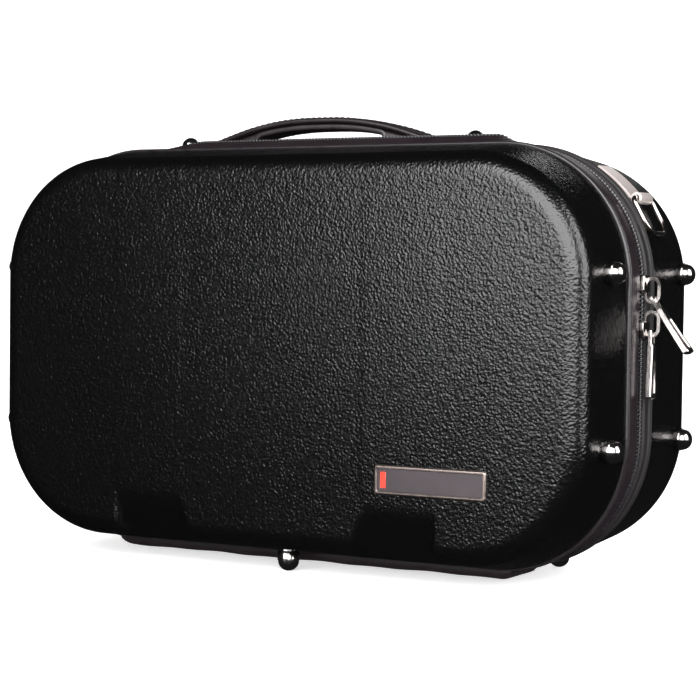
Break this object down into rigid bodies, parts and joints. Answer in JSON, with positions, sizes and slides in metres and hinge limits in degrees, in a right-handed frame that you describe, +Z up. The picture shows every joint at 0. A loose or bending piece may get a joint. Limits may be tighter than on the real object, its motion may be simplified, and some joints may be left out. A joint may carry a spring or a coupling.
{
  "type": "clarinet case",
  "caption": "Compact moulded instrument case with a zip closure, padded top handle, strap rings, chrome feet and a fitted foam insert inside.",
  "frame": {"origin": "on the floor under the middle of the case, in the plane where lid and base part", "axes": "+X towards the end with the zip sliders, -Y towards the lid's face, +Z up"},
  "size_m": [0.3653, 0.1281, 0.2255],
  "materials": {
    "moulded_shell": "satin",
    "piping_vinyl": "satin",
    "gusset_vinyl": "satin",
    "zip_nylon": "matte",
    "handle_vinyl": "satin",
    "stud_chrome": "polished",
    "ring_nickel": "polished",
    "slider_metal": "polished",
    "puller_metal": "polished",
    "plate_metal": "satin",
    "plate_enamel": "gloss",
    "bar_enamel": "gloss",
    "plush_lining": "matte"
  },
  "bodies": {
    "base": {"base_foot_left_lower": "stud_chrome", "base_foot_left_upper": "stud_chrome", "base_foot_right_lower": "stud_chrome", "base_foot_right_upper": "stud_chrome", "base_foot_under_left": "stud_chrome", "base_foot_under_right": "stud_chrome", "base_gusset": "gusset_vinyl", "base_piping": "piping_vinyl", "base_shell": "moulded_shell", "base_spine": "gusset_vinyl", "base_zip_chain": "zip_nylon", "handle_grip": "handle_vinyl", "handle_rivet_left": "stud_chrome", "handle_rivet_right": "stud_chrome", "handle_strap": "handle_vinyl", "insert_block": "plush_lining", "insert_board": "plush_lining", "strap_anchor_left": "ring_nickel", "strap_anchor_right": "ring_nickel"},
    "lid": {"lid_foot_left_lower": "stud_chrome", "lid_foot_left_upper": "stud_chrome", "lid_foot_right_lower": "stud_chrome", "lid_foot_right_upper": "stud_chrome", "lid_foot_under": "stud_chrome", "lid_gusset": "gusset_vinyl", "lid_lining": "plush_lining", "lid_piping": "piping_vinyl", "lid_shell": "moulded_shell", "lid_spine": "gusset_vinyl", "lid_zip_chain": "zip_nylon", "name_plate_bar": "bar_enamel", "name_plate_panel": "plate_enamel", "name_plate_rim": "plate_metal"},
    "slider_upper": {"slider_upper": "slider_metal"},
    "slider_lower": {"slider_lower": "slider_metal"},
    "puller_upper": {"puller_upper": "puller_metal"},
    "puller_lower": {"puller_lower": "puller_metal"},
    "ring_right": {"strap_ring_right": "ring_nickel"},
    "ring_left": {"strap_ring_left": "ring_nickel"}
  },
  "joints": [
    {"name": "lid_hinge", "type": "hinge", "parent": "base", "child": "lid", "pos_m": [0, 0, 0.0028], "axis": [1, 0, 0], "range_deg": [0, 150]},
    {"name": "slider_upper_run", "type": "hinge", "parent": "base", "child": "slider_upper", "pos_m": [0.103, 0, 0.143], "axis": [0, -1, 0], "range_deg": [0, 85]},
    {"name": "slider_lower_run", "type": "slide", "parent": "base", "child": "slider_lower", "axis": [0, 0, -1], "range_m": [0, 0.045]},
    {"name": "puller_upper_swing", "type": "hinge", "parent": "slider_upper", "child": "puller_upper", "pos_m": [0.1726, 0, 0.1364], "axis": [0, -1, 0], "range_deg": [0, 70]},
    {"name": "puller_lower_swing", "type": "hinge", "parent": "slider_lower", "child": "puller_lower", "pos_m": [0.1726, 0, 0.1209], "axis": [0, -1, 0], "range_deg": [-2, 40]},
    {"name": "ring_right_swing", "type": "hinge", "parent": "base", "child": "ring_right", "pos_m": [0.15718, 0.024, 0.1832], "axis": [0, -1, 0], "range_deg": [0, 130]},
    {"name": "ring_left_swing", "type": "hinge", "parent": "base", "child": "ring_left", "pos_m": [-0.15718, 0.024, 0.1832], "axis": [0, 1, 0], "range_deg": [0, 130]}
  ]
}
